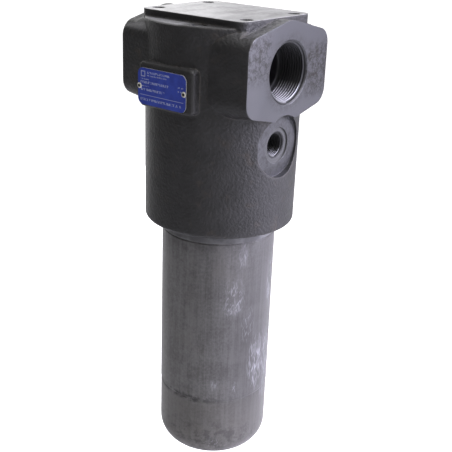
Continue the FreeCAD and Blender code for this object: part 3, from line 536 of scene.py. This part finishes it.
# Name plate. Thin aluminium sheet printed royal blue, held by two hollow rivets; its print is
# rows of broken ticks, a rule and an outlined square.
PLATE_BLUE = (0.024, 0.046, 0.33)
PLATE_BLUE_PALE = (0.036, 0.068, 0.42)
PLATE_INK = (0.42, 0.46, 0.66)
PLATE_EDGE = (0.5, 0.5, 0.5)
PLATE_X, PLATE_Z = -5.8, -54.5
PLATE_FRONT = -66.95
PRINT_RULE = -6.6
PRINT_SQUARE = (-19.3, 9.6, 1.9, 1.9)
PRINT_ROWS = (
    # middle across, middle up, half width, half height
    (-3.5, 10.9, 11.5, 0.8),
    (-5, 8.6, 10, 0.5),
    (-17.5, 5.6, 4.5, 0.4),
    (19, 4.2, 3.2, 0.5),
    (19.4, 1.2, 2.8, 0.5),
    (-7.5, 3.2, 14.5, 0.9),
    (-17.5, 0.2, 4.5, 0.4),
    (-9.5, -2.4, 12.5, 0.9),
    (-1, -10, 21, 0.9))
plate = Finish("blue_print", roughness=0.38, metallic=0.25)
across, up = plate.x - PLATE_X, plate.z - PLATE_Z


def outside_field(middle, height, half_wide, half_high):
    """How far a point of the plate is outside a field of its print; under 0 inside it."""
    return (abs(across - middle) - half_wide).largest(abs(up - height) - half_high)


ticks = plate.noise(0.75, 1, stretch=(1, 1, 0.3), shift=3).ramp(0.47, 0.5)
rule = abs(up - PRINT_RULE).ramp(0.3, 0.15) * abs(across).ramp(22.6, 22.4)
printed = abs(outside_field(*PRINT_SQUARE)).ramp(0.5, 0.35).largest(
    rule, *(outside_field(*row).ramp(0.1, -0.05) * ticks for row in PRINT_ROWS))
blue_cloud = plate.noise(5, 4)
blue = plate.blend(blue_cloud.ramp(0.3, 0.75), PLATE_BLUE, PLATE_BLUE_PALE)
plate.set(base_color=plate.blend(plate.y.ramp(PLATE_FRONT + 0.05, PLATE_FRONT), PLATE_EDGE,
                                 plate.blend(printed * 0.7, blue, PLATE_INK)),
          normal=plate.bump(blue_cloud, 0.04, plate.softened(0.3)))
paint(plate, "nameplate")

# Rivets. Two hollow brass-plated rivets with rolled heads, driven through the ends of the plate
# into its pad; their eyes are painted dark as the shade in their holes.
RIVET_BRIGHT = (0.66, 0.64, 0.58)
RIVET_EYE_SHADE = (0.02, 0.02, 0.02)
RIVET_OFF = 22.8
rolled = Finish("rolled_rivet", metallic=0.85, roughness=0.32)
from_eye = apart(abs(rolled.x - PLATE_X) - RIVET_OFF, rolled.z - PLATE_Z)
rolled.set(base_color=rolled.blend(from_eye.ramp(1.25, 0.95), RIVET_BRIGHT, RIVET_EYE_SHADE),
           normal=rolled.bump(rolled.noise(0.8, 2), 0.03))
paint(rolled, "nameplate_rivets")

# Passage plug. A turned steel plug pressed into the drilled hole in the ledge; its rim is painted
# dark as the shade in the gap round it.
PLUG_GREY = (0.13, 0.13, 0.14)
PLUG_GAP_SHADE = (0.03, 0.03, 0.03)
PLUG_X, PLUG_Y = 16.5, -50.8
pressed = Finish("pressed_plug", metallic=0.7, roughness=0.4)
from_plug_axis = apart(pressed.x - PLUG_X, pressed.y - PLUG_Y)
pressed.set(base_color=pressed.blend(from_plug_axis.ramp(4.0, 4.6), PLUG_GREY, PLUG_GAP_SHADE),
            normal=pressed.bump(pressed.noise(0.5, 2), 0.02))
paint(pressed, "passage_plug")

# Bowl. Drawn steel tube with a rounded bottom welded on and a collar turned at its mouth; thinly
# phosphated, so that drawing marks, smudges and pale rubs show.
BOWL_DARK = (0.092, 0.088, 0.087)
BOWL_PALE = (0.190, 0.186, 0.188)
BOWL_WARM = (0.132, 0.122, 0.110)
BOWL_RUB = (0.40, 0.40, 0.44)
BOWL_STAIN_AND_SHADE = (0.05, 0.048, 0.048)
BOWL_THREAD = (0.3, 0.3, 0.31)
COLLAR_GREY = (0.18, 0.18, 0.188)
COLLAR_FOOT = -178.6
WELD = -326.5
CAP_START = -364
CAP_OILY = -378
RUBS = (
    # turn, height, half width, half height, strength
    (57, -229, 13, 24, 0.5),
    (65, -190, 5, 16, 0.45),
    (88, -294, 13, 38, 0.65),
    (104, -300, 14, 52, 0.5),
    (108, -224, 8, 32, 0.6),
    (62, -313, 4, 8, 0.55),
    (39, -310, 4, 8, 0.5),
    (40, -369, 8, 8, 0.5),
    (74, -255, 9, 22, 0.35),
    (230, -250, 22, 50, 0.6))
STAINS_AND_SHADE = (
    # turn, height, half width, half height, strength
    (36, -235, 30, 75, 0.3),
    (10, -345, 30, 22, 0.2),
    # the broad one at turn 94, on the right, is painted shade where the side lamp falls
    (94, -270, 50, 150, 1),
    (150, -210, 26, 40, 0.3))
steel = Finish("drawn_steel", specular_ior_level=0.28, sheen_weight=0.2, sheen_roughness=0.4)


def spot_on_wall(turn, height, half_wide, half_high, strength):
    """A spot on the bowl's wall, of its full strength in the middle and 0 at its edge."""
    turn = math.radians(turn)
    sideways = steel.x * math.cos(turn) + steel.y * math.sin(turn)
    outwards = steel.x * math.sin(turn) - steel.y * math.cos(turn)
    from_spot = apart(sideways / half_wide, (steel.z - height) / half_high)
    return (1 - from_spot).ramp(0, 0.7) * outwards.ramp(5, 20) * strength


def strongest(places):
    """All the spots of a table; where two meet, the stronger one counts."""
    first, *others = (spot_on_wall(*place) for place in places)
    return first.largest(*others)


fine_lines = steel.noise(0.9, 3, stretch=(1, 1, 0.03), shift=7)
broad_lines = steel.noise(4.5, 3, stretch=(1, 1, 0.07), shift=2)
bands = steel.noise(9, 4, stretch=(0.2, 0.2, 1), shift=13)
clouds = steel.noise(24, 6, shift=4, roughness=0.6)
grain = steel.noise(2.2, 4, shift=9, roughness=0.7)
tone = (fine_lines * 0.17 + broad_lines * 0.28 + bands * 0.12 + clouds * 0.28 + grain * 0.42
        - 0.145)
in_cap = steel.z.ramp(WELD + 2, WELD - 6)
colour = steel.blend(tone.ramp(0.3, 0.66), BOWL_DARK, BOWL_PALE)
colour = steel.blend(in_cap * 0.35 + clouds.ramp(0.5, 0.8) * 0.35, colour, BOWL_WARM)

# Smudges lie along the weld, on the cap and its oily tip and in broad stains; the darkening under
# the collar is a painted shadow, and the broadest stain, on the right, is painted shade.
above_weld = steel.z - WELD + grain * 6 - 3
weld_ring = (above_weld.ramp(-4, -1) * above_weld.ramp(4.5, 1)
             * steel.noise(6, 5, shift=19).ramp(0.34, 0.6) * steel.x.ramp(48, 12))
on_cap = (steel.z.ramp(WELD - 8, CAP_START)
          * steel.noise(9, 7, shift=29, roughness=0.7).ramp(0.45, 0.6))
# Painted shadow under the collar.
shadow_under_collar = (steel.z.ramp(COLLAR_FOOT - 14, COLLAR_FOOT - 2)
                * steel.noise(14, 4, shift=37).ramp(0.36, 0.62))
smudge = (weld_ring * 0.9).largest(
    on_cap * 0.55, steel.z.ramp(CAP_OILY, CAP_OILY - 3), shadow_under_collar * 0.45,
    strongest(STAINS_AND_SHADE) * (0.3 + grain * 0.5))
colour = steel.blend(smudge, colour, BOWL_STAIN_AND_SHADE)

# Rubs are short slanting scratches in a pale haze.
scratches = steel.noise(1.3, 1, stretch=(1, 1, 0.1), shift=41, tilt=0.2).ramp(0.56, 0.66).largest(
    steel.noise(1.3, 1, stretch=(1, 1, 0.13), shift=45, tilt=-0.45).ramp(0.58, 0.68))
haze = steel.noise(8, 7, stretch=(1, 1, 0.5), shift=43, roughness=0.7).ramp(0.42, 0.72)
rubbed = strongest(RUBS) * (scratches * (0.7 + haze * 0.5)).largest(haze * 0.4)
colour = steel.blend(rubbed, colour, BOWL_RUB)

collar = steel.z.ramp(COLLAR_FOOT - 0.1, COLLAR_FOOT + 0.1)
collar_cloud = steel.noise(16, 3, shift=61).ramp(0.4, 0.62)
colour = steel.blend(collar, colour, steel.blend(collar_cloud * 0.6, COLLAR_GREY, BOWL_STAIN_AND_SHADE))
drawn = fine_lines * (1 - collar) * 0.5 + broad_lines * 0.5 + grain
steel.set(base_color=colour,
          metallic=0.3,
          roughness=0.48 + clouds * 0.12,
          normal=steel.bump(drawn, 0.07, steel.softened(0.8)))
paint(steel, "bowl")
bowl_metal = cut_metal("bowl_thread_steel", lambda finish: finish.out, 46.4, 47.1, BOWL_THREAD)
add_thread("bowl_thread", "bowl", bowl_metal,
           root=46.3, crest=47.45, low=-165.0, turns=16, pitch=2.0, steps=120)

# Drain plug. Blackened steel with a round collar over a rubber bonded washer; its pipe thread is
# cut down to the shank.
BLACKENED_DARK = (0.012, 0.012, 0.013)
BLACKENED_PALE = (0.03, 0.03, 0.032)
RUBBER_DARK = (0.010, 0.010, 0.010)
RUBBER_BLOOM = (0.028, 0.028, 0.029)
blackened = Finish("blackened_steel", specular_ior_level=0.25)
black_cloud = blackened.noise(3, 4)
blackened.set(
    base_color=blackened.blend(black_cloud.ramp(0.4, 0.7), BLACKENED_DARK, BLACKENED_PALE),
    roughness=0.4 + black_cloud * 0.2,
    normal=blackened.bump(blackened.noise(0.7, 2), 0.03, blackened.softened(0.4)))
paint(blackened, "drain_plug")
add_thread("drain_plug_thread", "drain_plug", blackened,
           root=9.3, crest=10.4, low=-396.4, turns=5, pitch=1.814, steps=64)
rubber = Finish("black_rubber")
bloom = rubber.noise(4, 5)
rubber.set(base_color=rubber.blend(bloom.ramp(0.45, 0.75), RUBBER_DARK, RUBBER_BLOOM),
           roughness=0.45 + bloom * 0.25,
           normal=rubber.bump(rubber.noise(0.6, 3), 0.03))
paint(rubber, "drain_plug_seal")

# Spigot and bypass valve. Turned from bright free-cutting steel and screwed into the roof of the
# chamber; a pierced guide and a sprung ring close the valve.
SPIGOT_GROOVE = (0.34, 0.335, 0.33)
SPIGOT_LAND = (0.5, 0.495, 0.48)
VALVE_GROOVE = (0.3, 0.3, 0.3)
VALVE_LAND = (0.46, 0.455, 0.45)
BYPASS_X = 29


def turned_metal(name, away, groove, land, width):
    """Bright metal with the rings of a turning tool round an axis, under a thin film of oil."""
    finish = Finish(name, metallic=0.9)
    rings = finish.turned(away(finish), width)
    film = finish.noise(7, 4)
    finish.set(base_color=finish.blend((rings * 0.6 + film * 0.4).ramp(0.3, 0.7), groove, land),
               roughness=0.22 + film * 0.2,
               normal=finish.bump(rings, 0.02, finish.softened(0.2)))
    return finish


paint(turned_metal("turned_spigot", lambda finish: finish.out, SPIGOT_GROOVE, SPIGOT_LAND, 0.35),
      "element_spigot")
paint(turned_metal("turned_valve", lambda finish: apart(finish.x - BYPASS_X, finish.y),
                   VALVE_GROOVE, VALVE_LAND, 0.25),
      "bypass_body", "bypass_poppet", "bypass_spring_guide")

# Springs. The valve's small coil spring, and the wide one in the bottom of the bowl that holds
# the element up. They and the ring that closes the valve are of tempered wire, browned by the
# heat and lined by the drawing die.
WIRE_DARK = (0.075, 0.066, 0.06)
WIRE_PALE = (0.17, 0.16, 0.155)
COIL_STEPS = 40
tempered = Finish("tempered_wire", metallic=0.8)
die_lines = tempered.noise(0.4, 3, stretch=(0.2, 0.2, 1))
heat = tempered.noise(6, 4, shift=9)
tempered.set(base_color=tempered.blend((die_lines * 0.4 + heat * 0.6).ramp(0.35, 0.65),
                                       WIRE_DARK, WIRE_PALE),
             roughness=0.3 + heat * 0.2,
             normal=tempered.bump(die_lines, 0.02))
paint(tempered, "bypass_retaining_ring", "bypass_spring", "element_spring")


def add_coil(name, body, middle, wire, low, high, turns, axis_x=0):
    """A coil spring of round wire, in the place of a CAD spring."""
    bpy.ops.object.select_all(action="DESELECT")
    bpy.ops.mesh.primitive_circle_add(vertices=16, radius=wire / 2000,
                                      rotation=(math.pi / 2, 0, 0))
    coil = bpy.context.object
    coil.name = name + "_round_wire"
    bpy.ops.object.transform_apply(rotation=True)
    in_edit_mode((bpy.ops.mesh.select_all, {"action": "SELECT"}),
                 (bpy.ops.transform.translate, {"value": (middle / 1000, 0, low / 1000)}))
    sweep_screw(coil, high - low, turns * 2 * math.pi, round(turns * COIL_STEPS))
    coil.data.materials.append(tempered.material)
    put(coil, (axis_x, 0, 0))
    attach(coil, body)
    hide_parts(name)
    return coil


coil = add_coil("bypass_spring", "head_assembly", middle=4.7, wire=1.2, low=-76.37, high=-65.36,
                turns=4.5, axis_x=BYPASS_X)
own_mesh(coil)
add_coil("element_spring", "bowl", middle=16, wire=2.6, low=-369.67, high=-346.53, turns=3.5)

# Element. Glass fibre pleated between fine wire cloth round a pierced core, held in two pressed
# caps of tinned sheet; a dished seat of the same sheet stands on the spring under it.
TIN_GREY = (0.5, 0.5, 0.49)
TIN_BRIGHT = (0.62, 0.62, 0.6)
TIN_TARNISH = (0.3, 0.28, 0.25)
FIBRE_DARK = (0.5, 0.47, 0.38)
FIBRE_PALE = (0.72, 0.69, 0.6)
CLOTH_GREY = (0.28, 0.28, 0.28)
CLOTH_PITCH = 0.6
tinned = Finish("tinned_sheet", metallic=0.9)
spangle = tinned.add("ShaderNodeSeparateColor", None, {0: tinned.add(
    "ShaderNodeTexVoronoi", {"feature": "F1"}, {"Vector": tinned.spot, "Scale": 0.22}, "Color")})
tarnish = tinned.noise(10, 5)
tinned.set(base_color=tinned.blend(tarnish.ramp(0.4, 0.75) * 0.6,
                                   tinned.blend(spangle, TIN_GREY, TIN_BRIGHT), TIN_TARNISH),
           roughness=0.26 + tarnish * 0.22,
           normal=tinned.bump(tinned.noise(14, 2), 0.15, tinned.softened(0.3)))
paint(tinned, "element_top_cap", "element_core", "element_bottom_cap", "element_spring_seat")


def cloth_wires(along):
    """1 on the wires that cross a direction of the cloth, 0 between them."""
    return abs(along.back_and_forth(CLOTH_PITCH) - CLOTH_PITCH / 2).ramp(0.2, 0.26)


media = Finish("wire_cloth_on_glass_fibre", roughness=0.7)
wires = cloth_wires(media.out).largest(cloth_wires(media.z))
fibre = media.noise(3, 5)
media.set(base_color=media.blend(wires, media.blend(fibre, FIBRE_DARK, FIBRE_PALE), CLOTH_GREY),
          metallic=wires * 0.7,
          normal=media.bump(wires + fibre, 0.1))
paint(media, "element_media")

# Seals. Two round rings of black rubber, one in the element's hub and one on the bowl, and the
# white plastic ring that backs up the one on the bowl.
PLASTIC_WHITE = (0.78, 0.77, 0.74)
PLASTIC_HANDLED = (0.6, 0.57, 0.5)
RING_STEPS = 120


def add_ring(node, body, finish):
    """A round ring in the place of a CAD ring of eight-sided wire."""
    low, high = (Vector(corner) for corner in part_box(node))
    wire = (high.z - low.z) / 2 / math.cos(math.pi / 8)
    bpy.ops.object.select_all(action="DESELECT")
    bpy.ops.mesh.primitive_circle_add(vertices=20, radius=wire, rotation=(math.pi / 2, 0, 0))
    ring = bpy.context.object
    ring.name = node + "_round"
    bpy.ops.object.transform_apply(rotation=True)
    in_edit_mode(
        (bpy.ops.mesh.select_all, {"action": "SELECT"}),
        (bpy.ops.transform.translate, {"value": (high.x - wire, 0, (low.z + high.z) / 2)}),
        (bpy.ops.mesh.spin, {"steps": RING_STEPS, "angle": 2 * math.pi, "axis": (0, 0, 1),
                             "use_auto_merge": True}),
        (bpy.ops.mesh.select_all, {"action": "SELECT"}),
        (bpy.ops.mesh.remove_doubles, {"threshold": 1e-6}),
        (bpy.ops.mesh.normals_make_consistent, {"inside": False}))
    bpy.ops.object.shade_smooth()
    ring.data.materials.append(finish.material)
    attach(ring, body)
    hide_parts(node)


paint(rubber, "bowl_o_ring", "element_o_ring")
add_ring("element_o_ring", "head_assembly", rubber)
add_ring("bowl_o_ring", "bowl_seals", rubber)
white_ring = Finish("white_plastic")
faint_rings = white_ring.turned(white_ring.out, 0.5)
handled = white_ring.noise(9, 4)
white_ring.set(
    base_color=white_ring.blend(handled.ramp(0.45, 0.8) * 0.5, PLASTIC_WHITE, PLASTIC_HANDLED),
    roughness=0.35 + handled * 0.15,
    normal=white_ring.bump(faint_rings, 0.02, white_ring.softened(0.2)))
paint(white_ring, "bowl_backup_ring")
